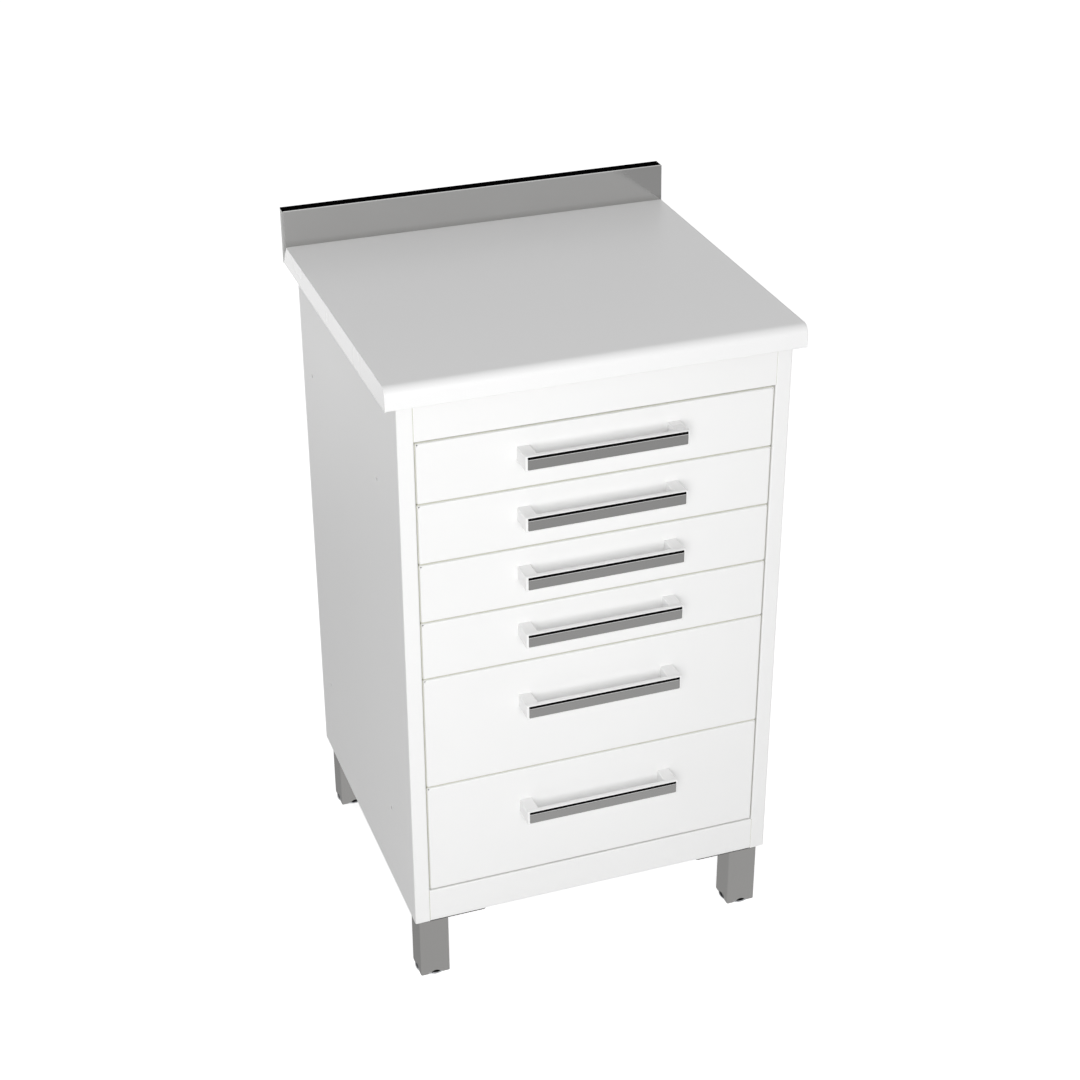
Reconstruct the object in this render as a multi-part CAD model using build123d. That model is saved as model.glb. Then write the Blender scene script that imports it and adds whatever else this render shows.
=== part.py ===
"""Floor-standing dental cabinet: six steel drawers under a laminate worktop.

Millimetres. X runs from the cabinet's left to its right, Y from its front to its back, Z up.
The origin is on the floor, in the middle of the cabinet's overall width and depth.
"""
from build123d import *
import os

os.makedirs("parts", exist_ok=True)

# ---- driving sizes: carcass ----
body_width = 500.0
body_depth = 463.0
leg_height = 96.0            # floor to the underside of the body
module_height = 81.25        # pitch of one shallow drawer
shallow_drawers = 4
deep_drawers = 2
deep_modules = 2             # a deep drawer takes this many pitches
rail_height = 50.0           # body edge to the middle of the gap beside the nearest drawer
sheet = 1.2                  # steel sheet of every folded piece
bend_inside = 0.8            # inside radius of a fold
stile_width = 20.5           # visible front return of a side panel
stile_lip = 18.0             # how far that return turns back inside
rear_flange = 18.0
rail_flange = 40.0           # upper flange of the top rail, lower flange of the bottom rail
rail_return = 16.0
base_flange = 15.0
stretcher_depth = 35.0
stretcher_height = 35.0

# ---- driving sizes: worktop and upstand ----
board = 28.0
laminate = 0.8
worktop_side_overhang = 14.0
worktop_front_overhang = 9.0
worktop_back_overhang = 13.0
worktop_nose_radius = 12.0
worktop_lower_radius = 1.5
worktop_edge_break = 0.5
upstand_height = 48.4
upstand_foot = 21.0          # depth of the wedge that sits on the board's bevelled back edge
upstand_lean = 2.0           # how far the face leans back over its height
upstand_sheet = 1.5
upstand_overhang = 1.2       # past the worktop's ends
seal_depth = 1.5
seal_recess = 0.3            # seal below the lip before it

# ---- driving sizes: legs and levelling feet ----
leg_tube = 40.0
leg_wall = 1.5
leg_inside_corner = 0.5
leg_inset_side = 7.0
leg_inset_front = 7.0
leg_inset_back = 8.5
leg_plate = 98.0
leg_plate_thickness = 4.0
leg_plate_margin = 3.0       # plate edge outside the tube, on the two outer sides
leg_plate_corner = 8.0
leg_floor_gap = 0.3          # gap between the tube's corners and the floor
leg_notch_radius = 8.0       # arch over the foot's rim in each side of the tube
leg_notch_height = 5.2
foot_radius = 22.0
foot_thickness = 2.0
foot_edge_break = 0.4
foot_stud_radius = 5.0
foot_stud_length = 42.0
foot_clearance = 0.2         # gap between the foot and the seat cut for it in the tube's end
thread_clearance = 0.1
insert_height = 18.0
insert_recess = 2.0          # insert above the foot's seat

# ---- driving sizes: drawers ----
front_gap = 2.4              # gap between neighbouring drawer fronts
side_gap = 1.8               # gap between a front and a stile
front_depth = 18.0
relief_radius = 1.3          # corner relief where two folds meet
relief_inset = 1.2
tray_back_room = 40.0        # between the tray's rear wall and the back of the body
tray_floor_gap = 12.0        # tray floor above the lower end of its drawer's pitch
tray_top_gap = 14.0          # tray rim below the upper end of its drawer's pitch
tray_rim = 6.0

# ---- driving sizes: runners ----
runner_front_room = 2.0      # between a drawer front's inner skin and the runners' front ends
runner_back_room = 43.0      # between the runners' rear ends and the back of the body
runner_height = 35.0
runner_thickness = 12.7      # side room that one runner takes
runner_sheet = 1.2
runner_play = 0.4            # running gap between neighbouring members
runner_rise = 35.0           # runner axis above the lower end of its drawer's pitch
post_width = 30.0
front_post_inset = 98.5      # post axis behind the front of the body
rear_post_inset = 50.5       # post axis before the back of the body
post_end_gap = 18.0

# ---- driving sizes: handles ----
handle_pitch = 192.0         # between the axes of the two posts
handle_post_width = 17.0
handle_post_height = 18.5
handle_projection = 32.0
handle_bar = 7.0             # thickness of the bar, front to back
handle_brow = 1.0            # bar above the posts
handle_chin = 0.5            # bar below the posts
handle_edge = 1.5
handle_post_edge = 1.5
handle_drop_shallow = 24.6   # top of the posts below the upper end of its drawer's pitch
handle_drop_deep = 47.7
handle_stud_radius = 2.5
handle_stud_head = 4.5
handle_stud_head_height = 1.5
strip_side_rim = 2.8         # bar left visible round the inlaid strip
strip_top_rim = 1.0
strip_bottom_rim = 2.0
strip_thickness = 2.4
strip_proud = 0.2
strip_bevel_height = 2.8
strip_bevel_depth = 1.2
strip_corner = 1.5

# ---- driving sizes: holes and fasteners ----
side_hole_radius = 2.75
side_hole_low = 120.5        # lower holes above the body's underside
side_hole_high = 139.5       # upper holes below the body's top
fit_clearance = 0.1          # a slipped-in piece, per side
screw_radius = 2.0
screw_head_radius = 3.8
screw_head_height = 2.2
worktop_screw_bite = 16.0
worktop_screw_spread = 180.0
flange_screw_inset = 20.0
back_screw_rows = 5
back_screw_end = 40.0
back_screw_length = 8.0
bolt_radius = 3.0
bolt_head_radius = 5.8
bolt_head_height = 4.0
bolt_reach = 8.0             # how far a bolt stands up inside the base
bolt_inset = 12.0            # from the edges of a leg plate

# ---- levels and reaches that follow from the sizes above ----
drawer_modules = [1] * shallow_drawers + [deep_modules] * deep_drawers
body_bottom = leg_height
body_top = body_bottom + 2 * rail_height + module_height * sum(drawer_modules)
worktop_top = body_top + board + laminate
half_width = body_width / 2
half_inside = half_width - sheet
half_opening = half_width - stile_width
half_worktop = half_width + worktop_side_overhang
back_reach = body_depth + worktop_back_overhang
front_y = (handle_projection - back_reach) / 2
back_y = front_y + body_depth
worktop_front_y = front_y - worktop_front_overhang
worktop_back_y = front_y + back_reach
upstand_front_y = worktop_back_y - upstand_foot
panel_y = back_y - 2 * sheet
bend = bend_inside + sheet


def block(x0, x1, y0, y1, z0, z1):
    """A rectangular block between two corners."""
    return Pos((x0 + x1) / 2, (y0 + y1) / 2, (z0 + z1) / 2) * Box(x1 - x0, y1 - y0, z1 - z0)


def folded(points, plane, length, thickness=sheet):
    """A sheet folded along the mid-line through points, as long as length along the plane's normal."""
    profile = trace(FilletPolyline(*points, radius=bend_inside + thickness / 2), thickness)
    return extrude(plane * profile, amount=length)


def section(outline):
    """A closed outline in Y and Z."""
    return Plane.YZ * make_face(Polyline(*outline, close=True))


def drawn(face, x0, x1):
    """A face in the YZ plane, drawn out along X."""
    return extrude(Pos(x0, 0, 0) * face, amount=x1 - x0)


def rod(radius, start, direction, length):
    """A round rod from its start point along a direction."""
    return extrude(Plane(origin=start, z_dir=direction) * Circle(radius), amount=length)


def screw(head_face, inward, length):
    """A pan-head screw: its shank enters at head_face and runs inward."""
    out = tuple(-c for c in inward)
    head = rod(screw_head_radius, head_face, out, screw_head_height)
    head = fillet(head.edges().sort_by(Axis(head_face, out))[-1], screw_head_height / 2)
    return head + rod(screw_radius, head_face, inward, length)


def pair(piece):
    """A left-hand piece and its mirror image."""
    return [piece, mirror(piece, about=Plane.YZ)]


def save(solids, name):
    """Write one piece, or a group of like pieces, under its own name."""
    group = solids if isinstance(solids, list) else [solids]
    whole = [solid for item in group for solid in item.solids()]
    shape = Compound(children=whole) if len(whole) > 1 else whole[0]
    export_step(shape, f"parts/{name}.step")


# ---- side panels: folded sheet with a front stile, its lip and a rear flange ----
stile_x = half_opening + sheet / 2
left_side = folded([
    (-stile_x, front_y + stile_lip),
    (-stile_x, front_y + sheet / 2),
    (-half_width + sheet / 2, front_y + sheet / 2),
    (-half_width + sheet / 2, back_y - sheet / 2),
    (-half_width + rear_flange, back_y - sheet / 2),
], Plane.XY.offset(body_bottom), body_top - body_bottom)
side_hole_rows = [body_bottom + side_hole_low, body_top - side_hole_high]
post_rows = [front_y + front_post_inset, back_y - rear_post_inset]
for hole_z in side_hole_rows:
    for hole_y in post_rows:
        left_side -= rod(side_hole_radius, (-half_width - sheet, hole_y, hole_z), (1, 0, 0), 3 * sheet)

# ---- back panel, screwed to the side panels' rear flanges ----
half_back = half_inside - bend_inside
back_panel = block(-half_back, half_back, panel_y, panel_y + sheet, body_bottom, body_top)
back_screw_x = half_width - rear_flange / 2
back_screw_step = (body_top - body_bottom - 2 * back_screw_end) / (back_screw_rows - 1)
back_screws = []
for row in range(back_screw_rows):
    for side in (-1, 1):
        place = (side * back_screw_x, back_y, body_bottom + back_screw_end + row * back_screw_step)
        hole = rod(screw_radius + fit_clearance, place, (0, -1, 0), back_screw_length)
        left_side -= hole
        back_panel -= hole
        back_screws.append(screw(place, (0, -1, 0), back_screw_length))
save(left_side, "left_side")
save(mirror(left_side, about=Plane.YZ), "right_side")
save(back_panel, "back_panel")
save(back_screws, "back_screws")

# ---- rails across the front, stretcher across the back ----
rail_plane = Plane.YZ.offset(-half_opening)
rail_edge = rail_height - (front_gap + sheet) / 2
top_rail = folded([
    (front_y + rail_flange, body_top - sheet / 2),
    (front_y + sheet / 2, body_top - sheet / 2),
    (front_y + sheet / 2, body_top - rail_edge),
    (front_y + rail_return, body_top - rail_edge),
], rail_plane, 2 * half_opening)
bottom_rail = folded([
    (front_y + rail_return, body_bottom + rail_edge),
    (front_y + sheet / 2, body_bottom + rail_edge),
    (front_y + sheet / 2, body_bottom + 3 * sheet / 2),
    (front_y + rail_flange, body_bottom + 3 * sheet / 2),
], rail_plane, 2 * half_opening)
stretcher = folded([
    (panel_y - stretcher_depth, body_top - sheet / 2),
    (panel_y - sheet / 2, body_top - sheet / 2),
    (panel_y - sheet / 2, body_top - stretcher_height),
], Plane.YZ.offset(-half_inside), 2 * half_inside)

# ---- base panel: a pan between the side panels, notched round the stiles ----
base_x = half_inside - sheet / 2
base_panel = folded([
    (-base_x, body_bottom + base_flange),
    (-base_x, body_bottom + sheet / 2),
    (base_x, body_bottom + sheet / 2),
    (base_x, body_bottom + base_flange),
], Plane.XZ.offset(-panel_y), panel_y - front_y - sheet)
for x0, x1 in ((-half_width, -half_opening), (half_opening, half_width)):
    base_panel -= block(x0, x1, front_y, front_y + stile_lip, body_bottom, body_bottom + base_flange)

# ---- worktop: laminated board, nosed at the front and bevelled at the back ----
profile = make_face(Polyline(
    (worktop_front_y, body_top), (worktop_front_y, worktop_top), (upstand_front_y, worktop_top),
    (worktop_back_y, body_top), close=True,
))
profile = fillet(profile.vertices().group_by(Axis.X)[0].sort_by(Axis.Y)[-1], worktop_nose_radius)
profile = fillet(profile.vertices().group_by(Axis.X)[0].sort_by(Axis.Y)[0], worktop_lower_radius)
worktop = drawn(Plane.YZ * profile, -half_worktop, half_worktop)
for end in (0, -1):
    rim = worktop.faces().sort_by(Axis.X)[end].edges().sort_by(Axis.Y)[:-1]
    worktop = chamfer(rim, worktop_edge_break)
front_screw_y = front_y + rail_flange - flange_screw_inset
rear_screw_y = panel_y - flange_screw_inset
worktop_screws = []
for screw_x in (-worktop_screw_spread, 0, worktop_screw_spread):
    for screw_y in (front_screw_y, rear_screw_y):
        place = (screw_x, screw_y, body_top - sheet)
        hole = rod(screw_radius + fit_clearance, place, (0, 0, 1), sheet + worktop_screw_bite + fit_clearance)
        worktop -= hole
        top_rail -= hole
        stretcher -= hole
        worktop_screws.append(screw(place, (0, 0, 1), sheet + worktop_screw_bite))
save(top_rail, "top_rail")
save(stretcher, "rear_stretcher")
save(worktop, "worktop")
save(worktop_screws, "worktop_screws")

# ---- upstand: a folded steel box on the board's bevel, open at its ends; its seal lies behind a lip ----
upstand_top = worktop_top + upstand_height
seal_top = upstand_top - seal_recess
seal_bottom = seal_top - seal_depth


def upstand_section(top):
    """The upstand's outline, with its leaning face carried on up to a height."""
    lean = upstand_lean * (top - worktop_top) / upstand_height
    return section([
        (upstand_front_y, worktop_top), (upstand_front_y + lean, top),
        (worktop_back_y, top), (worktop_back_y, body_top),
    ])


half_upstand = half_worktop + upstand_overhang
whole = drawn(upstand_section(upstand_top), -half_upstand, half_upstand)
hollow = drawn(offset(upstand_section(seal_bottom), -upstand_sheet), -half_upstand, half_upstand)
seal_room = Pos(0, upstand_sheet, 0) * whole
seal_room &= block(-half_upstand, half_upstand, upstand_front_y, worktop_back_y, seal_bottom, upstand_top)
upstand = whole - hollow - seal_room
seal = seal_room & block(-half_upstand, half_upstand, upstand_front_y, worktop_back_y, seal_bottom, seal_top)
save(upstand, "upstand")
save(seal, "upstand_seal")

# ---- legs: square tube on a plate, a threaded insert in the tube's end, a levelling foot ----
seat_top = foot_thickness + foot_clearance
notch_centre_z = leg_notch_height - leg_notch_radius
plate_bottom = body_bottom - leg_plate_thickness
half_tube = leg_tube / 2
leg_bore = leg_tube - 2 * leg_wall
leg_x = half_width - leg_inset_side - half_tube
plate_shift = leg_plate / 2 - half_tube - leg_plate_margin
bolt_spread = leg_plate / 2 - bolt_inset
bolt_grip = leg_plate_thickness + 2 * sheet + bolt_reach
leg_rows = (
    ("front", front_y + leg_inset_front + half_tube, 1),
    ("back", back_y - leg_inset_back - half_tube, -1),
)
leg_section = RectangleRounded(leg_tube, leg_tube, leg_wall + leg_inside_corner)
leg_section -= RectangleRounded(leg_bore, leg_bore, leg_inside_corner)
inserts = []
leg_bolts = []
for row, leg_y, inward_y in leg_rows:
    for hand, inward_x in (("left", 1), ("right", -1)):
        centre_x = -inward_x * leg_x
        tube = Pos(centre_x, leg_y, leg_floor_gap) * extrude(leg_section, amount=plate_bottom - leg_floor_gap)
        tube -= rod(foot_radius + foot_clearance, (centre_x, leg_y, 0), (0, 0, 1), seat_top)
        tube -= rod(leg_notch_radius, (centre_x - half_tube, leg_y, notch_centre_z), (1, 0, 0), leg_tube)
        tube -= rod(leg_notch_radius, (centre_x, leg_y - half_tube, notch_centre_z), (0, 1, 0), leg_tube)
        plate_x = centre_x + inward_x * plate_shift
        plate_y = leg_y + inward_y * plate_shift
        plate = Pos(plate_x, plate_y, plate_bottom) * extrude(
            RectangleRounded(leg_plate, leg_plate, leg_plate_corner), amount=leg_plate_thickness)
        for step_x, step_y in ((1, 1), (1, -1), (-1, 1)):
            bolt_x = plate_x + inward_x * step_x * bolt_spread
            bolt_y = plate_y + inward_y * step_y * bolt_spread
            hole = rod(bolt_radius + fit_clearance, (bolt_x, bolt_y, plate_bottom), (0, 0, 1), bolt_grip)
            plate -= hole
            base_panel -= hole
            bottom_rail -= hole
            head = Pos(bolt_x, bolt_y, plate_bottom - bolt_head_height) * extrude(
                RegularPolygon(bolt_head_radius, 6), amount=bolt_head_height)
            leg_bolts.append(head + rod(bolt_radius, (bolt_x, bolt_y, plate_bottom), (0, 0, 1), bolt_grip))
        save(tube + plate, f"{row}_{hand}_leg")

        plug = Pos(centre_x, leg_y, seat_top + insert_recess) * extrude(
            RectangleRounded(leg_bore, leg_bore, leg_inside_corner), amount=insert_height)
        plug -= rod(foot_stud_radius + thread_clearance, (centre_x, leg_y, 0), (0, 0, 1), body_bottom)
        inserts.append(plug)

        pad = Pos(centre_x, leg_y, 0) * extrude(Circle(foot_radius), amount=foot_thickness)
        pad = chamfer(pad.edges().sort_by(Axis.Z)[0], foot_edge_break)
        stud = rod(foot_stud_radius, (centre_x, leg_y, foot_thickness), (0, 0, 1), foot_stud_length)
        save(pad + stud, f"{row}_{hand}_foot")
save(base_panel, "base_panel")
save(bottom_rail, "bottom_rail")
save(inserts, "leg_inserts")
save(leg_bolts, "leg_bolts")

# ---- runner posts: four upright channels that stand the runners off the side panels ----
post_half = (post_width - sheet) / 2
posts = []
for post_y in post_rows:
    post = folded([
        (-half_inside, post_y - post_half), (-stile_x, post_y - post_half),
        (-stile_x, post_y + post_half), (-half_inside, post_y + post_half),
    ], Plane.XY.offset(body_bottom + post_end_gap), body_top - body_bottom - 2 * post_end_gap)
    for hole_z in side_hole_rows:
        post -= rod(side_hole_radius, (-half_width, post_y, hole_z), (1, 0, 0), stile_width)
    posts += pair(post)
save(posts, "runner_posts")

# ---- runners: three nested channels, the fixed one on the posts, the last one on the tray ----
tray_y = front_y + front_depth
tray_end = back_y - tray_back_room
half_tray = half_opening - runner_thickness
runner_y = tray_y + runner_front_room
runner_end = back_y - runner_back_room
nesting = runner_sheet + runner_play
fixed_web = -half_opening
fixed_tip = -half_tray - nesting
middle_web = fixed_web + nesting
middle_tip = fixed_tip - runner_play
drawer_tip = middle_web + nesting


def channel(web_face, tip_x, height, axis_z):
    """A left-hand runner member: a web on the side of web_face, and flanges that reach tip_x."""
    turn = runner_sheet / 2 if tip_x > web_face else -runner_sheet / 2
    half = (height - runner_sheet) / 2
    return folded([
        (tip_x, axis_z + half), (web_face + turn, axis_z + half),
        (web_face + turn, axis_z - half), (tip_x, axis_z - half),
    ], Plane.XZ.offset(-runner_end), runner_end - runner_y, runner_sheet)


# ---- drawers, from the top down ----
half_front = half_opening - side_gap
half_handle = (handle_pitch + handle_post_width) / 2
half_strip = half_handle - strip_side_rim
strip_front = front_y - handle_projection
bar_front = strip_front + strip_proud
bar_back = bar_front + handle_bar
fixed_members = []
upper = body_top - rail_height
for number, modules in enumerate(drawer_modules, start=1):
    lower = upper - modules * module_height
    name = f"drawer_{number}"

    # the front: a folded shell, flush with the stiles, closed by an inner skin
    low, high = lower + front_gap / 2, upper - front_gap / 2
    shell = block(-half_front, half_front, front_y, tray_y, low, high)
    shell = fillet(shell.edges().filter_by(Axis.Y) + shell.faces().sort_by(Axis.Y)[0].edges(), bend)
    shell -= block(-half_front + sheet, half_front - sheet, front_y + sheet, tray_y, low + sheet, high - sheet)
    skin = block(-half_front + sheet, half_front - sheet, tray_y - sheet, tray_y, low + sheet, high - sheet)
    for side in (-1, 1):
        corner = (side * (half_front - relief_inset), front_y, high - relief_inset)
        shell -= rod(relief_radius, corner, (0, 1, 0), bend)

    # the handle: a bar on two posts, their studs headed over behind the front's sheet
    post_top = upper - (handle_drop_deep if modules == deep_modules else handle_drop_shallow)
    post_low = post_top - handle_post_height
    bar_top, bar_low = post_top + handle_brow, post_low - handle_chin
    bow = block(-half_handle, half_handle, bar_front, bar_back, bar_low, bar_top)
    bow = fillet(bow.edges(), handle_edge)
    for side in (-1, 1):
        post_x = side * handle_pitch / 2
        post = block(post_x - handle_post_width / 2, post_x + handle_post_width / 2,
                     bar_back - handle_edge, front_y, post_low, post_top)
        bow += fillet(post.edges().filter_by(Axis.Y), handle_post_edge)
        stud_start = (post_x, front_y, (post_top + post_low) / 2)
        shell -= rod(handle_stud_radius + fit_clearance, stud_start, (0, 1, 0), sheet)
        bow += rod(handle_stud_radius, stud_start, (0, 1, 0), sheet)
        head_start = (post_x, front_y + sheet, (post_top + post_low) / 2)
        bow += rod(handle_stud_head, head_start, (0, 1, 0), handle_stud_head_height)
    save([shell, skin], f"{name}_front")

    # the strip let into the bar's face, its upper edge bevelled
    strip_low, strip_high = bar_low + strip_bottom_rim, bar_top - strip_top_rim
    strip_back = strip_front + strip_thickness
    strip = drawn(section([
        (strip_back, strip_low), (strip_front, strip_low), (strip_front, strip_high - strip_bevel_height),
        (strip_front + strip_bevel_depth, strip_high), (strip_back, strip_high),
    ]), -half_strip, half_strip)
    strip = fillet(strip.edges().filter_by(Axis.Y).group_by(Axis.Z)[0], strip_corner)
    recess = block(-half_strip, half_strip, strip_front, strip_back, strip_low, strip_high)
    recess = fillet(recess.edges().filter_by(Axis.Y).group_by(Axis.Z)[0], strip_corner)
    save(bow - recess, f"{name}_handle")
    save(strip, f"{name}_handle_strip")

    # the tray: open box behind the front, its rim turned inwards
    floor, rim = lower + tray_floor_gap, upper - tray_top_gap
    tray = block(-half_tray, half_tray, tray_y, tray_end, floor, rim)
    tray -= block(-half_tray + sheet, half_tray - sheet, tray_y + sheet, tray_end - sheet,
                  floor + sheet, rim - sheet)
    tray -= block(-half_tray + tray_rim, half_tray - tray_rim, tray_y + tray_rim, tray_end - tray_rim,
                  floor + sheet, rim)
    save(tray, f"{name}_tray")

    # its pair of runners; a stop closes the rear end of each fixed member
    axis_z = lower + runner_rise
    half_runner = runner_height / 2
    stop = block(fixed_web, fixed_tip, runner_end, runner_end + runner_sheet,
                 axis_z - half_runner, axis_z + half_runner)
    fixed_members += pair(channel(fixed_web, fixed_tip, runner_height, axis_z) + stop)
    middle_height = runner_height - 2 * nesting
    save(pair(channel(middle_web, middle_tip, middle_height, axis_z)), f"{name}_middle_runners")
    inner_height = middle_height - 2 * nesting
    save(pair(channel(-half_tray, drawer_tip, inner_height, axis_z)), f"{name}_runners")
    upper = lower
save(fixed_members, "fixed_runners")
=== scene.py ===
"""The looks of a floor-standing dental cabinet: white steel drawers, laminate worktop, steel legs."""
import math

import bmesh
import bpy
from mathutils import Matrix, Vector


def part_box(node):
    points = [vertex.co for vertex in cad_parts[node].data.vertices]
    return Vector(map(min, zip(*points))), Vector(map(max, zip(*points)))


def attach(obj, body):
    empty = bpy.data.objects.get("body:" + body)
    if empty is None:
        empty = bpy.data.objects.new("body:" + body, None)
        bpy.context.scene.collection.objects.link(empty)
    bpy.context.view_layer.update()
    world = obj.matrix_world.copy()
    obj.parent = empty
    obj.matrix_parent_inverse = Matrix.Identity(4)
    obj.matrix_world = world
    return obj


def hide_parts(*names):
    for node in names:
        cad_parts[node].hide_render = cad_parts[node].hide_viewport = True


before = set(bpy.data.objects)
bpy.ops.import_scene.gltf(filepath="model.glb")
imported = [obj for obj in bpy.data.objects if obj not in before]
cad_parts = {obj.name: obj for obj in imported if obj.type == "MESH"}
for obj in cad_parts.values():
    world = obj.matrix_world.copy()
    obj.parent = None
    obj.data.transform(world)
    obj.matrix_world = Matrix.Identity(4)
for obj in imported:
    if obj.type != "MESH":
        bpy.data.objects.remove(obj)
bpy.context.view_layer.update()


# ---- the view ----
# The camera stands to the left of the cabinet's front and looks down on the worktop.
camera = bpy.data.objects.new("camera", bpy.data.cameras.new("camera"))
camera.data.sensor_width = 36.0
camera.data.lens = 70.69
camera.matrix_world = (
    Matrix.Translation((-0.8258, -2.3330, 1.8929))
    @ Matrix.Rotation(math.radians(-19.565), 4, "Z")
    @ Matrix.Rotation(math.radians(90 - 29.214), 4, "X")
    @ Matrix.Rotation(math.radians(-0.172), 4, "Z")
)
bpy.context.collection.objects.link(camera)
bpy.context.scene.camera = camera
bpy.context.scene.view_settings.view_transform = "Standard"


# ---- the room ----
# A white floor and a white room light the cabinet evenly; glossy faces see the floor grey before
# the cabinet and paler behind it. One large soft lamp stands before the cabinet, a little to its
# left and out of the camera's sight, and makes the front the brightest side.
def place(tree, kind, settings=None, sockets=None):
    """A node with its settings; sockets gives inputs, by name or number, a value or another's output."""
    node = tree.nodes.new(kind)
    for key, value in (settings or {}).items():
        setattr(node, key, value)
    for key, value in (sockets or {}).items():
        if isinstance(value, bpy.types.NodeSocket):
            tree.links.new(value, node.inputs[key])
        else:
            node.inputs[key].default_value = value
    return node


def lifted(tree, value, share, base):
    """value * share + base."""
    total = place(tree, "ShaderNodeMath", {"operation": "MULTIPLY_ADD"}, {0: value, 1: share, 2: base})
    return total.outputs[0]


def greater(tree, one, other):
    """The greater of two values."""
    return place(tree, "ShaderNodeMath", {"operation": "MAXIMUM"}, {0: one, 1: other}).outputs[0]


def seen_straight(tree):
    """1 for rays that look at the room straight or through glass, and 0 for all others."""
    path = place(tree, "ShaderNodeLightPath").outputs
    return greater(tree, path["Is Camera Ray"], path["Is Transmission Ray"])


def seen_in_gloss(tree):
    """1 for rays that a glossy face sends back to the room, and 0 for all others."""
    return place(tree, "ShaderNodeLightPath").outputs["Is Glossy Ray"]


horizon_light = 0.66
zenith_light = 0.40
floor_light = 0.68
floor_grey = (0.8, 0.8, 0.8, 1)
room = bpy.data.worlds.new("room")
bpy.context.scene.world = room
room.use_nodes = True
tree = room.node_tree
toward = place(tree, "ShaderNodeTexCoord").outputs["Generated"]
height = place(tree, "ShaderNodeSeparateXYZ", sockets={0: toward}).outputs["Z"]
dome = place(tree, "ShaderNodeMapRange", sockets={
    "Value": height, "To Min": horizon_light, "To Max": zenith_light}).outputs[0]
seen = greater(tree, seen_straight(tree), seen_in_gloss(tree))
strength = place(tree, "ShaderNodeMix", sockets={"Factor": seen, "A": dome, "B": 1.0})
background = tree.nodes["Background"]
background.inputs["Color"].default_value = (1, 1, 1, 1)
tree.links.new(strength.outputs["Result"], background.inputs["Strength"])

floor_paint = bpy.data.materials.new("floor_paint")
floor_paint.use_nodes = True
tree = floor_paint.node_tree
shader = tree.nodes["Principled BSDF"]
shader.inputs["Roughness"].default_value = 0.9
shader.inputs["Specular IOR Level"].default_value = 0.0
shader.inputs["Emission Color"].default_value = (1, 1, 1, 1)
glossy = seen_in_gloss(tree)
where = place(tree, "ShaderNodeTexCoord").outputs["Object"]
depth = place(tree, "ShaderNodeSeparateXYZ", sockets={0: where}).outputs["Y"]
before = place(tree, "ShaderNodeMapRange", sockets={
    "Value": depth, "From Min": -1.6, "From Max": -0.5, "To Min": 0.46, "To Max": 0.58})
behind = place(tree, "ShaderNodeMapRange", {"interpolation_type": "SMOOTHSTEP"}, {
    "Value": depth, "From Min": 0.8, "From Max": 1.9, "To Min": 0.0, "To Max": 0.55})
glow = place(tree, "ShaderNodeMix", sockets={
    "Factor": glossy, "A": lifted(tree, seen_straight(tree), floor_light, 0.0),
    "B": lifted(tree, before.outputs[0], 1.0, behind.outputs[0])})
tree.links.new(glow.outputs["Result"], shader.inputs["Emission Strength"])
own = place(tree, "ShaderNodeMix", {"data_type": "RGBA"}, {0: glossy, 6: floor_grey, 7: (0, 0, 0, 1)})
tree.links.new(own.outputs[2], shader.inputs["Base Color"])
floor_mesh = bpy.data.meshes.new("floor")
floor_mesh.from_pydata([(-20, -20, 0), (20, -20, 0), (20, 20, 0), (-20, 20, 0)], [], [(0, 1, 2, 3)])
floor_mesh.materials.append(floor_paint)
floor = bpy.data.objects.new("floor", floor_mesh)
bpy.context.collection.objects.link(floor)

softbox = bpy.data.objects.new("softbox", bpy.data.lights.new("softbox", "AREA"))
softbox.data.shape = "RECTANGLE"
softbox.data.size = 1.2
softbox.data.size_y = 1.0
softbox.data.energy = 23.5
softbox.location = (-0.6, -2.1, 1.15)
softbox.rotation_euler = (math.radians(74), 0, math.radians(-16))
softbox.visible_camera = False
bpy.context.collection.objects.link(softbox)


# ---- painted steel: side panels, back, base, rails, drawer fronts and trays ----
# Folded 1.2 mm sheet, powder coated white after folding: a satin skin with the faint relief
# of melted powder, slightly uneven over a panel, with a painted highlight along the folds.
def shader_group(name, inputs, outputs):
    """An empty shader node group; inputs are named with (type, default), outputs with their type."""
    tree = bpy.data.node_groups.new(name, "ShaderNodeTree")
    for socket, (kind, default) in inputs.items():
        made = tree.interface.new_socket(name=socket, in_out="INPUT", socket_type="NodeSocket" + kind)
        made.default_value = default
    for socket, kind in outputs.items():
        tree.interface.new_socket(name=socket, in_out="OUTPUT", socket_type="NodeSocket" + kind)
    return tree, tree.nodes.new("NodeGroupInput").outputs, tree.nodes.new("NodeGroupOutput").inputs


powder, given, result = shader_group("powder_skin", {
    "Colour": ("Color", (0.8, 0.8, 0.8, 1)), "Grain": ("Float", 900.0),
    "Unevenness": ("Float", 0.03), "Roughness": ("Float", 0.35),
}, {"Colour": "Color", "Roughness": "Float", "Height": "Float"})
where = place(powder, "ShaderNodeTexCoord").outputs["Object"]
fine = place(powder, "ShaderNodeTexNoise", sockets={"Vector": where, "Scale": given["Grain"], "Detail": 2.0})
broad = place(powder, "ShaderNodeTexNoise", sockets={"Vector": where, "Scale": 7.0, "Detail": 3.0})
tone = lifted(powder, broad.outputs["Fac"], given["Unevenness"], 1.0)
paint = place(powder, "ShaderNodeVectorMath", {"operation": "SCALE"}, {0: given["Colour"], "Scale": tone})
powder.links.new(paint.outputs[0], result["Colour"])
powder.links.new(lifted(powder, broad.outputs["Fac"], 0.12, given["Roughness"]), result["Roughness"])
powder.links.new(fine.outputs["Fac"], result["Height"])

# A mask along edges and folds, where a lighter colour is laid on as a painted highlight.
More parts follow.
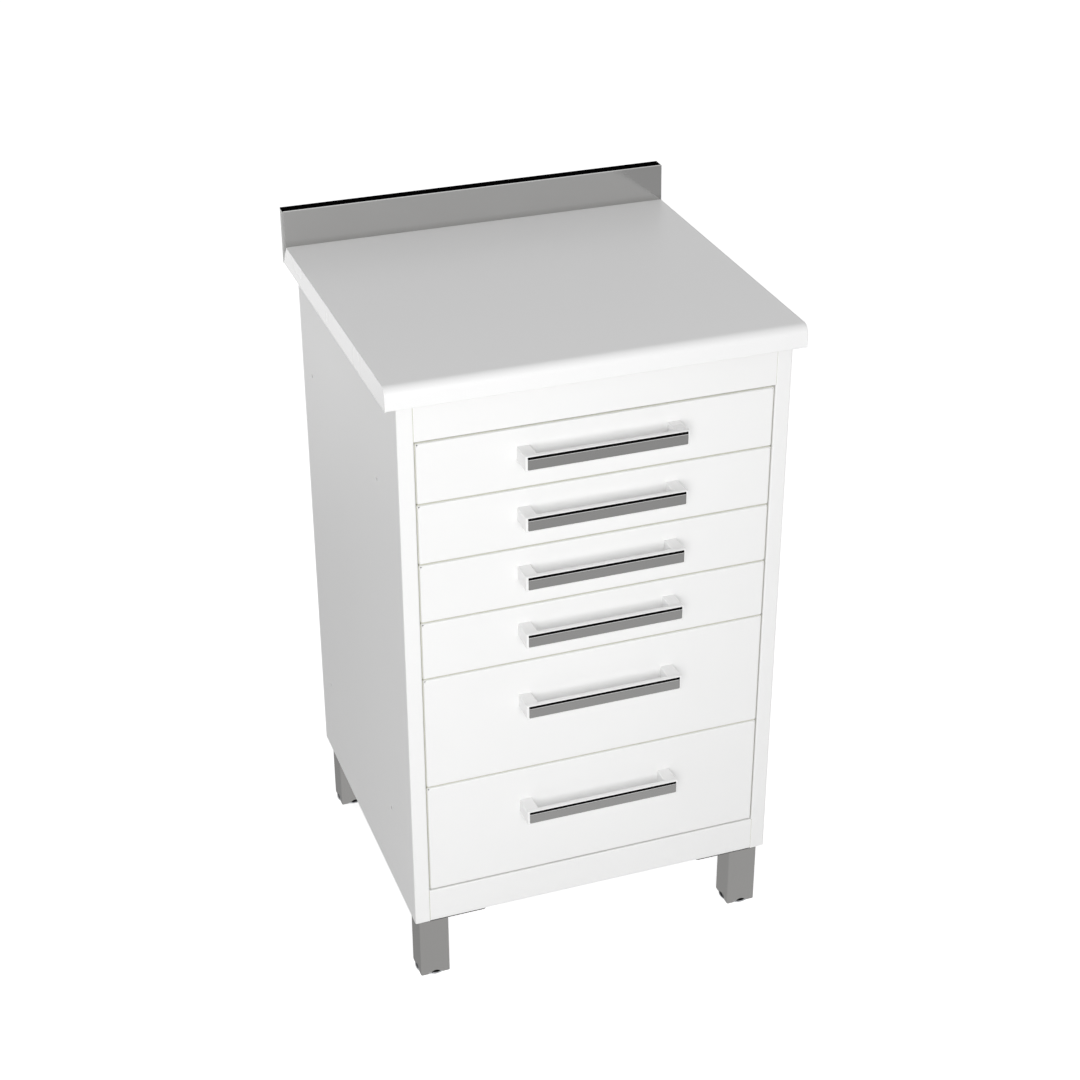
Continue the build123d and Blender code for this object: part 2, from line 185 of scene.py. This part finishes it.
edge_highlight, given, result = shader_group("edge_highlight_mask", {"Width": ("Float", 0.0015)}, {"Mask": "Float"})
rounded = place(edge_highlight, "ShaderNodeBevel", {"samples": 8}, {"Radius": given["Width"]})
flat = place(edge_highlight, "ShaderNodeNewGeometry").outputs["Normal"]
alike = place(edge_highlight, "ShaderNodeVectorMath", {"operation": "DOT_PRODUCT"}, {0: rounded.outputs[0], 1: flat})
mask = place(edge_highlight, "ShaderNodeMapRange", sockets={
    "Value": alike.outputs["Value"], "From Min": 0.99, "From Max": 0.85, "To Min": 0.0, "To Max": 1.0})
edge_highlight.links.new(mask.outputs[0], result["Mask"])

between, given, result = shader_group("between_levels", {
    "Axis": ("Vector", (0.0, 0.0, 1.0)), "Low": ("Float", 0.0), "High": ("Float", 1.0),
}, {"Mask": "Float"})
where = place(between, "ShaderNodeTexCoord").outputs["Object"]
level = place(between, "ShaderNodeVectorMath", {"operation": "DOT_PRODUCT"}, {0: where, 1: given["Axis"]})
mask = place(between, "ShaderNodeMapRange", sockets={
    "Value": level.outputs["Value"], "From Min": given["Low"], "From Max": given["High"]})
between.links.new(mask.outputs[0], result["Mask"])


def finish(name, group, relief, constants=None, **values):
    """A material with a surface group's colour, roughness and relief, and constants on its shader."""
    material = bpy.data.materials.new(name)
    material.use_nodes = True
    tree = material.node_tree
    skin = place(tree, "ShaderNodeGroup", {"node_tree": group}, values).outputs
    shader = tree.nodes["Principled BSDF"]
    for socket, value in (constants or {}).items():
        shader.inputs[socket].default_value = value
    bump = place(tree, "ShaderNodeBump", sockets={
        "Height": skin["Height"], "Strength": 0.5, "Distance": relief})
    tree.links.new(skin["Colour"], shader.inputs["Base Color"])
    tree.links.new(skin["Roughness"], shader.inputs["Roughness"])
    tree.links.new(bump.outputs[0], shader.inputs["Normal"])
    return material


def overlay(material, group, colour, **values):
    """Lay a second colour over a material where a mask group says, and return that mask."""
    tree = material.node_tree
    shader = tree.nodes["Principled BSDF"]
    under = shader.inputs["Base Color"].links[0].from_socket
    mask = place(tree, "ShaderNodeGroup", {"node_tree": group}, values).outputs["Mask"]
    mixed = place(tree, "ShaderNodeMix", {"data_type": "RGBA"}, {0: mask, 6: under, 7: colour})
    tree.links.new(mixed.outputs[2], shader.inputs["Base Color"])
    return mask


def dress(material, *names):
    """Give CAD nodes one material."""
    for name in names:
        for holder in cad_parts[name].material_slots:
            holder.material = material


white_powder = finish("white_powder", powder, 0.00006, Colour=(0.88, 0.88, 0.877, 1), Roughness=0.3)
# Painted highlight: the folds and edges of the powder coat are lightened towards white.
overlay(white_powder, edge_highlight, (0.99, 0.99, 0.987, 1), Width=0.0015)
drawers = range(1, 7)
dress(white_powder, "left_side", "right_side", "back_panel", "base_panel", "top_rail", "bottom_rail")
for n in drawers:
    dress(white_powder, f"drawer_{n}_front", f"drawer_{n}_tray")


# ---- sealant between the rails and the stiles ----
# A thin bead of grey-olive sealant is drawn down each joint where a rail's end meets a stile's
# fold, and struck off a little below the faces.
def ring_mesh(rings, materials=(), faces_of=None):
    """A closed mesh through rings of points, capped at its ends; faces_of picks each face's material."""
    count = len(rings[0])
    faces = [tuple(range(count)), tuple(range((len(rings) - 1) * count, len(rings) * count))]
    for i in range(len(rings) - 1):
        for j in range(count):
            k = (j + 1) % count
            faces.append((i * count + j, i * count + k, (i + 1) * count + k, (i + 1) * count + j))
    mesh = bpy.data.meshes.new("rings")
    mesh.from_pydata([point for ring in rings for point in ring], [], faces)
    for material in materials:
        mesh.materials.append(material)
    outward = bmesh.new()
    outward.from_mesh(mesh)
    bmesh.ops.recalc_face_normals(outward, faces=outward.faces)
    outward.to_mesh(mesh)
    outward.free()
    if faces_of:
        for face in mesh.polygons:
            face.material_index = faces_of(face)
    return mesh


def settle(name, body, mesh, replaced=()):
    """Put a finished mesh in the scene on its body, in the stead of the CAD nodes named."""
    mesh.name = name
    piece = bpy.data.objects.new(name, mesh)
    bpy.context.collection.objects.link(piece)
    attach(piece, body)
    if replaced:
        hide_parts(*replaced)


olive_rubber = finish("olive_rubber", powder, 0.00003, {"Specular IOR Level": 0.3},
                      Colour=(0.60, 0.60, 0.52, 1), Roughness=0.6)
bead_radius = 0.0007
bead_sunk = 0.0009
bead_sides = 8
for rail in ("top_rail", "bottom_rail"):
    low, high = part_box(rail)
    levels = ((low[2], 0.3), (low[2] + bead_radius, 1), (high[2] - bead_radius, 1), (high[2], 0.3))
    for side, hand in ((-1, "left"), (1, "right")):
        middle = side * (high[0] + 0.4 * bead_radius)
        rings = []
        for z, share in levels:
            radius = share * bead_radius
            turns = [2 * math.pi * step / bead_sides for step in range(bead_sides)]
            rings.append([(middle + radius * math.cos(turn), low[1] + bead_sunk + radius * math.sin(turn), z)
                          for turn in turns])
        settle(f"{rail}_{hand}_sealant", "cabinet", ring_mesh(rings, [olive_rubber]))


# ---- screws of the back panel ----
# Zinc plated pan heads with a cross recess; each ends at its own turn, as hand-driven screws do.
def growing_tree(name, inputs):
    """A geometry node tree; inputs are named with (type, default), beside geometry, material and shading."""
    tree = bpy.data.node_groups.new(name, "GeometryNodeTree")
    common = {"Geometry": ("Geometry", None), "Material": ("Material", None), "Smooth": ("Bool", False)}
    for socket, (kind, default) in {**common, **inputs}.items():
        made = tree.interface.new_socket(name=socket, in_out="INPUT", socket_type="NodeSocket" + kind)
        if default is not None:
            made.default_value = default
    tree.interface.new_socket(name="Geometry", in_out="OUTPUT", socket_type="NodeSocketGeometry")
    return tree, tree.nodes.new("NodeGroupInput").outputs, tree.nodes.new("NodeGroupOutput").inputs


def grown_end(tree, geometry, given, result):
    """Every tree's last steps: real geometry, smooth or flat as asked, in the material given."""
    real = place(tree, "GeometryNodeRealizeInstances", sockets={0: geometry})
    shaded = place(tree, "GeometryNodeSetShadeSmooth", sockets={
        0: real.outputs[0], "Shade Smooth": given["Smooth"]})
    coated = place(tree, "GeometryNodeSetMaterial", sockets={
        0: shaded.outputs[0], "Material": given["Material"]})
    tree.links.new(coated.outputs[0], result[0])


def grow(tree, points=(), **values):
    """Run a tree on a mesh of loose points and return what it makes as a plain mesh."""
    seed = bpy.data.meshes.new("places")
    seed.from_pydata(list(points), [], [])
    carrier = bpy.data.objects.new("places", seed)
    bpy.context.collection.objects.link(carrier)
    modifier = carrier.modifiers.new("growth", "NODES")
    modifier.node_group = tree
    for socket in tree.interface.items_tree:
        if socket.in_out == "INPUT" and socket.name in values:
            modifier[socket.identifier] = values[socket.name]
    bpy.context.view_layer.update()
    made = bpy.data.meshes.new_from_object(carrier.evaluated_get(bpy.context.evaluated_depsgraph_get()))
    bpy.data.objects.remove(carrier)
    bpy.data.meshes.remove(seed)
    return made


set_out, given, result = growing_tree("set_out", {
    "Piece": ("Object", None), "Facing": ("Vector", (0, 0, 1)), "From Middle": ("Vector", (0, 0, 0)),
    "Seed": ("Int", 1),
})
here = place(set_out, "GeometryNodeInputPosition").outputs[0]
outward = place(set_out, "ShaderNodeVectorMath", {"operation": "MULTIPLY_ADD"}, {
    0: here, 1: given["From Middle"], 2: given["Facing"]})
stand = place(set_out, "FunctionNodeAlignRotationToVector", {"axis": "Z"}, {"Vector": outward.outputs[0]})
piece = place(set_out, "GeometryNodeObjectInfo", sockets={"Object": given["Piece"]})
laid = place(set_out, "GeometryNodeInstanceOnPoints", sockets={
    "Points": given["Geometry"], "Instance": piece.outputs["Geometry"], "Rotation": stand.outputs[0]})
turn = place(set_out, "FunctionNodeRandomValue", {"data_type": "FLOAT_VECTOR"}, {
    0: (0, 0, 0), 1: (0, 0, 2 * math.pi), "Seed": given["Seed"]})
spun = place(set_out, "GeometryNodeRotateInstances", sockets={
    0: laid.outputs[0], "Rotation": turn.outputs[0]})
grown_end(set_out, spun.outputs[0], given, result)


def lay_out(pattern_mesh, points, **values):
    """Set copies of a mesh out on points, with their Z along Facing, or along From Middle times the place."""
    pattern = bpy.data.objects.new("pattern", pattern_mesh)
    bpy.context.collection.objects.link(pattern)
    made = grow(set_out, points, Piece=pattern, Seed=len(points), **values)
    bpy.data.objects.remove(pattern)
    return made


def turned(profile, sides, across_flats=False):
    """Rings of a piece turned about Z, from (radius, height) pairs; a hexagon's radius is half its width."""
    rings = []
    for radius, height in profile:
        ring = []
        for i in range(sides):
            angle = 2 * math.pi * i / sides
            reach = radius / math.cos(angle % (math.pi / 3) - math.pi / 6) if across_flats else radius
            ring.append((reach * math.cos(angle), reach * math.sin(angle), height))
        rings.append(ring)
    return rings


zinc_skin, given, result = shader_group("zinc_bloom", {
    "Colour": ("Color", (0.5, 0.5, 0.5, 1)), "Cell": ("Float", 150.0),
    "Unevenness": ("Float", 0.2), "Roughness": ("Float", 0.3),
}, {"Colour": "Color", "Roughness": "Float", "Height": "Float"})
where = place(zinc_skin, "ShaderNodeTexCoord").outputs["Object"]
bloom = place(zinc_skin, "ShaderNodeTexVoronoi", sockets={"Vector": where, "Scale": given["Cell"]})
cell = place(zinc_skin, "ShaderNodeSeparateXYZ", sockets={0: bloom.outputs["Color"]}).outputs[0]
tone = lifted(zinc_skin, cell, given["Unevenness"], 1.0)
metal = place(zinc_skin, "ShaderNodeVectorMath", {"operation": "SCALE"}, {0: given["Colour"], "Scale": tone})
zinc_skin.links.new(metal.outputs[0], result["Colour"])
zinc_skin.links.new(lifted(zinc_skin, cell, 0.15, given["Roughness"]), result["Roughness"])
zinc_skin.links.new(bloom.outputs["Distance"], result["Height"])
zinc = finish("zinc", zinc_skin, 0.00001, {"Metallic": 1.0}, Colour=(0.56, 0.57, 0.59, 1), Roughness=0.28)

screw_radius = 0.002
screw_head = 0.0038
screw_sides = 24
cross_half_width = 0.00045
cross_depth = 0.0009
low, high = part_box("back_screws")
panel_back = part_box("back_panel")[1][1] + 0.0012
head_height = high[1] - panel_back
pan = turned([
    (screw_radius, low[1] - panel_back), (screw_radius, 0), (screw_head, 0), (screw_head, 0.5 * head_height),
    (0.9 * screw_head, 0.82 * head_height), (0.7 * screw_head, head_height)], screw_sides)
for share in (0.55, 0.38, 0.22, 0.08):
    flat_ring = turned([(share * screw_head, head_height)], screw_sides)[0]
    pan.append([(x, y, z - (cross_depth if min(abs(x), abs(y)) < cross_half_width else 0))
                for x, y, z in flat_ring])
screw_rows = 5
step = (high[2] - low[2] - 2 * screw_head) / (screw_rows - 1)
places = [(x, panel_back, low[2] + screw_head + row * step)
          for x in (low[0] + screw_head, high[0] - screw_head) for row in range(screw_rows)]
mesh = lay_out(ring_mesh(pan), places, Facing=(0, 1, 0), Material=zinc)
settle("back_panel_screws", "cabinet", mesh, ["back_screws"])


# ---- legs ----
# Square stainless tube, drawn and brushed along its length, with a painted highlight on its corners,
# welded to a plate painted dark as shade under the body. The weld is a row of overlapping beads
# round the tube.
steel, given, result = shader_group("drawn_grain", {
    "Colour": ("Color", (0.5, 0.5, 0.5, 1)), "Along": ("Vector", (1.0, 1.0, 1.0)),
    "Unevenness": ("Float", 0.05), "Roughness": ("Float", 0.1),
}, {"Colour": "Color", "Roughness": "Float", "Height": "Float"})
where = place(steel, "ShaderNodeTexCoord").outputs["Object"]
along = place(steel, "ShaderNodeVectorMath", {"operation": "MULTIPLY"}, {0: where, 1: given["Along"]})
lines = place(steel, "ShaderNodeTexNoise", sockets={
    "Vector": along.outputs[0], "Scale": 600.0, "Detail": 3.0})
cloud = place(steel, "ShaderNodeTexNoise", sockets={"Vector": where, "Scale": 18.0, "Detail": 3.0})
mixed = lifted(steel, cloud.outputs["Fac"], 0.5, lifted(steel, lines.outputs["Fac"], 0.5, 0.0))
tone = lifted(steel, mixed, given["Unevenness"], 1.0)
metal = place(steel, "ShaderNodeVectorMath", {"operation": "SCALE"}, {0: given["Colour"], "Scale": tone})
steel.links.new(metal.outputs[0], result["Colour"])
steel.links.new(lifted(steel, mixed, 0.1, given["Roughness"]), result["Roughness"])
steel.links.new(lines.outputs["Fac"], result["Height"])

stainless = {"Metallic": 1.0, "Specular Tint": (0.6, 0.6, 0.6, 1)}
leg_steel = finish("leg_steel", steel, 0.000004, stainless,
                   Colour=(0.50, 0.495, 0.485, 1), Along=(1, 1, 0.02), Roughness=0.16)
plate_thickness = 0.004
plate_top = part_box("front_left_leg")[1][2]
plate_bottom = plate_top - plate_thickness
# Painted highlight: the tube's corners are lightened.
overlay(leg_steel, edge_highlight, (0.60, 0.595, 0.585, 1), Width=0.0014)
# Painted shade: the plate above the tube is coloured dark for the shade under the body.
overlay(leg_steel, between, (0.2, 0.197, 0.19, 1), Low=plate_bottom - 0.0002, High=plate_bottom)
weld_steel = finish("weld_steel", steel, 0.00002, stainless, Colour=(0.34, 0.33, 0.31, 1), Roughness=0.3)

weld, given, result = growing_tree("weld_round_a_tube", {
    "Tube": ("Float", 0.04), "Corner": ("Float", 0.002), "Bead": ("Float", 0.001), "Step": ("Float", 0.0012),
    "Middle": ("Vector", (0, 0, 0)),
})
square = place(weld, "GeometryNodeCurvePrimitiveQuadrilateral", sockets={
    "Width": given["Tube"], "Height": given["Tube"]})
bent = place(weld, "GeometryNodeFilletCurve", {"mode": "POLY"}, {
    "Curve": square.outputs[0], "Count": 4, "Radius": given["Corner"]})
beads = place(weld, "GeometryNodeCurveToPoints", {"mode": "LENGTH"}, {
    "Curve": bent.outputs[0], "Length": given["Step"]})
bead = place(weld, "GeometryNodeMeshIcoSphere", sockets={"Radius": given["Bead"], "Subdivisions": 1})
laid = place(weld, "GeometryNodeInstanceOnPoints", sockets={
    "Points": beads.outputs["Points"], "Instance": bead.outputs[0], "Scale": (1, 1, 0.8)})
at_leg = place(weld, "GeometryNodeTransform", sockets={
    "Geometry": laid.outputs[0], "Translation": given["Middle"]})
grown_end(weld, at_leg.outputs[0], given, result)

tube = 0.04
bead_size = 0.0009
leg_middles = {}
for row in ("front", "back"):
    for hand in ("left", "right"):
        leg = f"{row}_{hand}_leg"
        dress(leg_steel, leg)
        foot_low, foot_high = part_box(f"{row}_{hand}_foot")
        middle = ((foot_low[0] + foot_high[0]) / 2, (foot_low[1] + foot_high[1]) / 2)
        leg_middles[f"{row}_{hand}"] = middle
        mesh = grow(weld, Material=weld_steel, Smooth=True, Bead=bead_size, Tube=tube,
                    Middle=(middle[0], middle[1], plate_bottom - 0.3 * bead_size))
        settle(f"{leg}_weld", "cabinet", mesh)


# ---- bolts of the legs ----
# Zinc plated hexagon bolts with a flange, three to a plate, their heads under the plate.
low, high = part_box("leg_bolts")
bolt_radius = 0.003
bolt_half = 0.005
bolt_head = 0.004
bolt_sides = 24
flange_radius = 0.0064
flange_height = 0.0009
bolt = turned([(bolt_radius, low[2] - high[2] + bolt_head), (bolt_radius, 0), (flange_radius, 0),
               (flange_radius - 0.0002, flange_height)], bolt_sides)
bolt += turned([(bolt_half, flange_height), (bolt_half, bolt_head - 0.0005), (0.9 * bolt_half, bolt_head)],
               bolt_sides, across_flats=True)
plate_edge = 0.012
places = []
for row in ("front", "back"):
    for hand, side in (("left", -1), ("right", 1)):
        low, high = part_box(f"{row}_{hand}_leg")
        outer, inner = (low, high) if side < 0 else (high, low)
        x_out, x_in = outer[0] - side * plate_edge, inner[0] + side * plate_edge
        y_front, y_back = low[1] + plate_edge, high[1] - plate_edge
        y_out, y_in = (y_front, y_back) if row == "front" else (y_back, y_front)
        places += [(x_in, y_in, plate_bottom), (x_in, y_out, plate_bottom), (x_out, y_in, plate_bottom)]
mesh = lay_out(ring_mesh(bolt), places, Facing=(0, 0, -1), Material=zinc)
settle("leg_plate_bolts", "cabinet", mesh, ["leg_bolts"])


# ---- leg inserts ----
# Black nylon blocks pressed into the tubes' ends, which hold the feet's threads.
black_nylon = finish("black_nylon", powder, 0.00003, {"Specular IOR Level": 0.3},
                     Colour=(0.012, 0.012, 0.012, 1), Roughness=0.5)
dress(black_nylon, "leg_inserts")


# ---- levelling feet ----
# Turned and zinc plated: a dished disc whose rim stands out of the tube's sides, with a
# drilled centre below, on a threaded stud.
thread_pitch = 0.0015
thread_depth = 0.0009
thread_sides = 20
stud = 0.005
disc_thickness = 0.002
disc_sides = 64
rim_break = 0.0004
top_break = 0.0003
dish_depth = 0.0002
drill_radius = 0.003
drill_depth = 0.0012
for place_name, (x, y) in leg_middles.items():
    low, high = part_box(f"{place_name}_foot")
    rim = (high[0] - low[0]) / 2
    profile = [
        (drill_radius, drill_depth), (drill_radius, 0.0), (0.6 * rim, 0.0), (0.62 * rim, dish_depth),
        (0.86 * rim, dish_depth), (0.88 * rim, 0.0), (rim - rim_break, 0.0), (rim, rim_break),
        (rim, disc_thickness - top_break), (rim - top_break, disc_thickness), (0.5 * rim, disc_thickness),
        (stud, disc_thickness)]
    disc = [[(x + px, y + py, low[2] + pz) for px, py, pz in ring] for ring in turned(profile, disc_sides)]
    shaft = []
    for i in range(int((high[2] - low[2] - disc_thickness - 0.0005) / (thread_pitch / 2))):
        level = low[2] + disc_thickness + i * thread_pitch / 2
        radius = stud - (0 if i % 2 else thread_depth)
        angles = [2 * math.pi * j / thread_sides for j in range(thread_sides)]
        shaft.append([(x + radius * math.cos(a), y + radius * math.sin(a),
                       level + thread_pitch * a / (2 * math.pi)) for a in angles])
    body = f"{place_name}_levelling_foot"
    settle(f"{place_name}_foot_disc", body, ring_mesh(disc, [zinc]),
           [f"{place_name}_foot"])
    settle(f"{place_name}_foot_stud", body, ring_mesh(shaft, [zinc]))


# ---- runner posts, runners and rear stretcher ----
# Galvanised sheet, rolled to channels. Domed rivets hold each drawer's own pair of members to
# the sides of its tray.
dress(zinc, "runner_posts", "fixed_runners", "rear_stretcher", "worktop_screws")
rivet_radius = 0.0032
rivet_height = 0.0009
rivet_step = 0.12
tray_sheet = 0.0012
rivet_places = (-1.4, -0.5, 0.5, 1.4)
dome = ring_mesh(turned([(rivet_radius * math.cos(a), rivet_height * math.sin(a))
                         for a in (0, 0.35, 0.7, 1.05, 1.4)], 16))
for n in drawers:
    dress(zinc, f"drawer_{n}_runners", f"drawer_{n}_middle_runners")
    low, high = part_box(f"drawer_{n}_tray")
    runner_low, runner_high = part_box(f"drawer_{n}_runners")
    level = (runner_low[2] + runner_high[2]) / 2
    middle_y = (runner_low[1] + runner_high[1]) / 2
    places = [(side * (high[0] - tray_sheet), middle_y + k * rivet_step, level)
              for side in (-1, 1) for k in rivet_places]
    inward = {"Facing": (0, 0, 0), "From Middle": (-1, 0, 0)}
    mesh = lay_out(dome, places, Material=zinc, Smooth=True, **inward)
    settle(f"drawer_{n}_rivets", f"drawer_{n}", mesh)


# ---- drawer seals ----
# A soft grey-olive lip runs round each drawer front, just behind its fold, and closes most
# of the gap to its neighbours.
lip_tree, given, result = growing_tree("lip_round_a_front", {
    "Width": ("Float", 0.4), "Height": ("Float", 0.1), "Corner": ("Float", 0.002),
    "Thickness": ("Float", 0.001), "Depth": ("Float", 0.004), "Middle": ("Vector", (0, 0, 0)),
})
outline = place(lip_tree, "GeometryNodeCurvePrimitiveQuadrilateral", sockets={
    "Width": given["Width"], "Height": given["Height"]})
rounded = place(lip_tree, "GeometryNodeFilletCurve", {"mode": "POLY"}, {
    "Curve": outline.outputs[0], "Count": 4, "Radius": given["Corner"]})
strip_section = place(lip_tree, "GeometryNodeCurvePrimitiveQuadrilateral", sockets={
    "Width": given["Thickness"], "Height": given["Depth"]})
swept = place(lip_tree, "GeometryNodeCurveToMesh", sockets={
    0: rounded.outputs[0], 1: strip_section.outputs[0]})
upright = place(lip_tree, "GeometryNodeTransform", sockets={
    "Geometry": swept.outputs[0], "Translation": given["Middle"], "Rotation": (math.pi / 2, 0, 0)})
grown_end(lip_tree, upright.outputs[0], given, result)

lip_thickness = 0.0011
lip_depth = 0.004
lip_setback = 0.0028
for n in drawers:
    low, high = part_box(f"drawer_{n}_front")
    mesh = grow(lip_tree, Width=high[0] - low[0] + lip_thickness, Height=high[2] - low[2] + lip_thickness,
                Thickness=lip_thickness, Depth=lip_depth, Material=olive_rubber,
                Middle=(0, low[1] + lip_setback + lip_depth / 2, (low[2] + high[2]) / 2))
    settle(f"drawer_{n}_seal", f"drawer_{n}", mesh)


# ---- handles ----
# Bows of white enamelled metal, with a painted highlight on their edges. A steel strip is let into
# each bar: its face is polished, its upper edge is bevelled and painted black as a dark reflection,
# and a fine crease, painted bright as a highlight, parts the two.
enamel = finish("enamel", powder, 0.00001,
                Colour=(0.88, 0.88, 0.877, 1), Grain=1500.0, Roughness=0.2, Unevenness=0.01)
# Painted highlight: the bows' edges are lightened towards white.
overlay(enamel, edge_highlight, (0.99, 0.99, 0.987, 1), Width=0.001)
strip_steel = finish("strip_steel", steel, 0.000002, stainless,
                     Colour=(0.52, 0.518, 0.51, 1), Along=(0.02, 1, 1), Roughness=0.12)
# Painted highlight: the crease is a lighter copy of the strip's steel.
crease_highlight_steel = finish("crease_highlight_steel", steel, 0.000002, stainless,
                      Colour=(0.75, 0.75, 0.74, 1), Along=(0.02, 1, 1))
# Painted reflection: the bevel is coloured near black for the dark it would reflect.
bevel_dark_reflection = finish("bevel_dark_reflection_paint", powder, 0.000005, {"Specular IOR Level": 0.02},
                   Colour=(0.0025, 0.0025, 0.0025, 1), Roughness=0.7)
bevel_height = 0.0036
bevel_depth = 0.0012
crease_height = 0.0004
crease_depth = 0.00015
strip_corner = 0.0015
quarter = [math.pi / 2 * step / 6 for step in range(7)]
for n in drawers:
    dress(enamel, f"drawer_{n}_handle")
    low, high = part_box(f"drawer_{n}_handle_strip")
    corner = [(strip_corner * (1 - math.sin(a)), low[2] + strip_corner * (1 - math.cos(a))) for a in quarter]
    strip_rings = []
    for y, drop in ((high[1], 0), (low[1] + bevel_depth, 0), (low[1] + crease_depth, bevel_height),
                    (low[1], bevel_height + crease_height)):
        strip_rings.append(
            [(low[0] + inset, y, z) for inset, z in corner]
            + [(low[0], y, high[2] - drop), (high[0], y, high[2] - drop)]
            + [(high[0] - inset, y, z) for inset, z in reversed(corner)])

    def strip_face(face):
        """0 the polished face and the sides, 1 the crease painted bright as a highlight, 2 the bevel painted
        black as a dark reflection.
        """
        if face.normal.z < 0.2:
            return 0
        return 1 if face.center.y < low[1] + crease_depth else 2

    mesh = ring_mesh(strip_rings, [strip_steel, crease_highlight_steel, bevel_dark_reflection], strip_face)
    settle(f"drawer_{n}_strip", f"drawer_{n}", mesh, [f"drawer_{n}_handle_strip"])


# ---- worktop ----
# Chipboard faced with a fine matt white laminate that is bent over the front edge, with a
# grey backing below; a glossier white band, 0.9 mm thick, is glued on each end.
laminate = finish("laminate", powder, 0.00002,
                  Colour=(0.90, 0.90, 0.90, 1), Grain=1800.0, Roughness=0.28, Unevenness=0.01)
low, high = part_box("worktop")
overlay(laminate, between, (0.55, 0.54, 0.52, 1), Low=low[2] + 0.0003, High=low[2] + 0.0001)
dress(laminate, "worktop")
band = finish("edge_band", powder, 0.00001, {"Coat Weight": 0.8, "Coat Roughness": 0.12},
              Colour=(0.93, 0.93, 0.93, 1), Grain=1800.0, Roughness=0.2, Unevenness=0.01)
nose = 0.012
upstand_foot = 0.021
band_thickness = 0.0009
band_ease = 0.0004
band_inset = 0.0001
steps = ((0.0, band_inset), (band_thickness - band_ease, band_inset),
         (band_thickness - 0.3 * band_ease, 0.3 * band_ease), (band_thickness, band_ease))
for side, hand in ((-1, "left"), (1, "right")):
    rings = []
    for reach, inset in steps:
        front, top, bottom = low[1] + inset, high[2] - inset, low[2] + inset
        outline = [(front + nose * (1 - math.cos(a)), top - nose * (1 - math.sin(a))) for a in quarter]
        outline += [(high[1] - upstand_foot - inset, top), (high[1] - 3 * inset, bottom), (front, bottom)]
        rings.append([(side * (high[0] + reach), y, z) for y, z in outline])
    settle(f"worktop_{hand}_band", "cabinet", ring_mesh(rings, [band]))


# ---- upstand ----
# A box folded from stainless sheet, polished outside, coated grey inside and behind, open at its
# ends. The lip along its top is painted bright as a highlight, and the foot of its face is painted
# darker as shade where it meets the worktop. A flat black rubber seal lies behind the lip.
upstand_steel = finish("upstand_steel", steel, 0.000002, stainless,
                       Colour=(0.53, 0.527, 0.52, 1), Along=(0.02, 1, 1), Roughness=0.06, Unevenness=0.03)
lip_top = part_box("upstand")[1][2]
worktop_top = high[2]
coat_from = high[1] - 0.0162
coat_full = high[1] - 0.0158
# Painted highlight: the top 0.5 mm of the lip is lightened.
overlay(upstand_steel, between, (0.8, 0.8, 0.79, 1), Low=lip_top - 0.0009, High=lip_top - 0.0005)
# Painted shade: the face darkens over its lowest 9 mm towards the worktop.
overlay(upstand_steel, between, (0.42, 0.417, 0.41, 1), Low=worktop_top + 0.009, High=worktop_top)
coated = overlay(upstand_steel, between, (0.8, 0.8, 0.79, 1), Axis=(0, 1, 0), Low=coat_from, High=coat_full)
tree = upstand_steel.node_tree
shader = tree.nodes["Principled BSDF"]
tree.links.new(lifted(tree, coated, -1.0, 1.0), shader.inputs["Metallic"])
rough = shader.inputs["Roughness"].links[0].from_socket
tree.links.new(lifted(tree, coated, 0.5, rough), shader.inputs["Roughness"])
dress(upstand_steel, "upstand")
black_rubber = finish("black_rubber", powder, 0.00002, {"Specular IOR Level": 0.0},
                      Colour=(0.002, 0.002, 0.002, 1), Roughness=0.8)
dress(black_rubber, "upstand_seal")
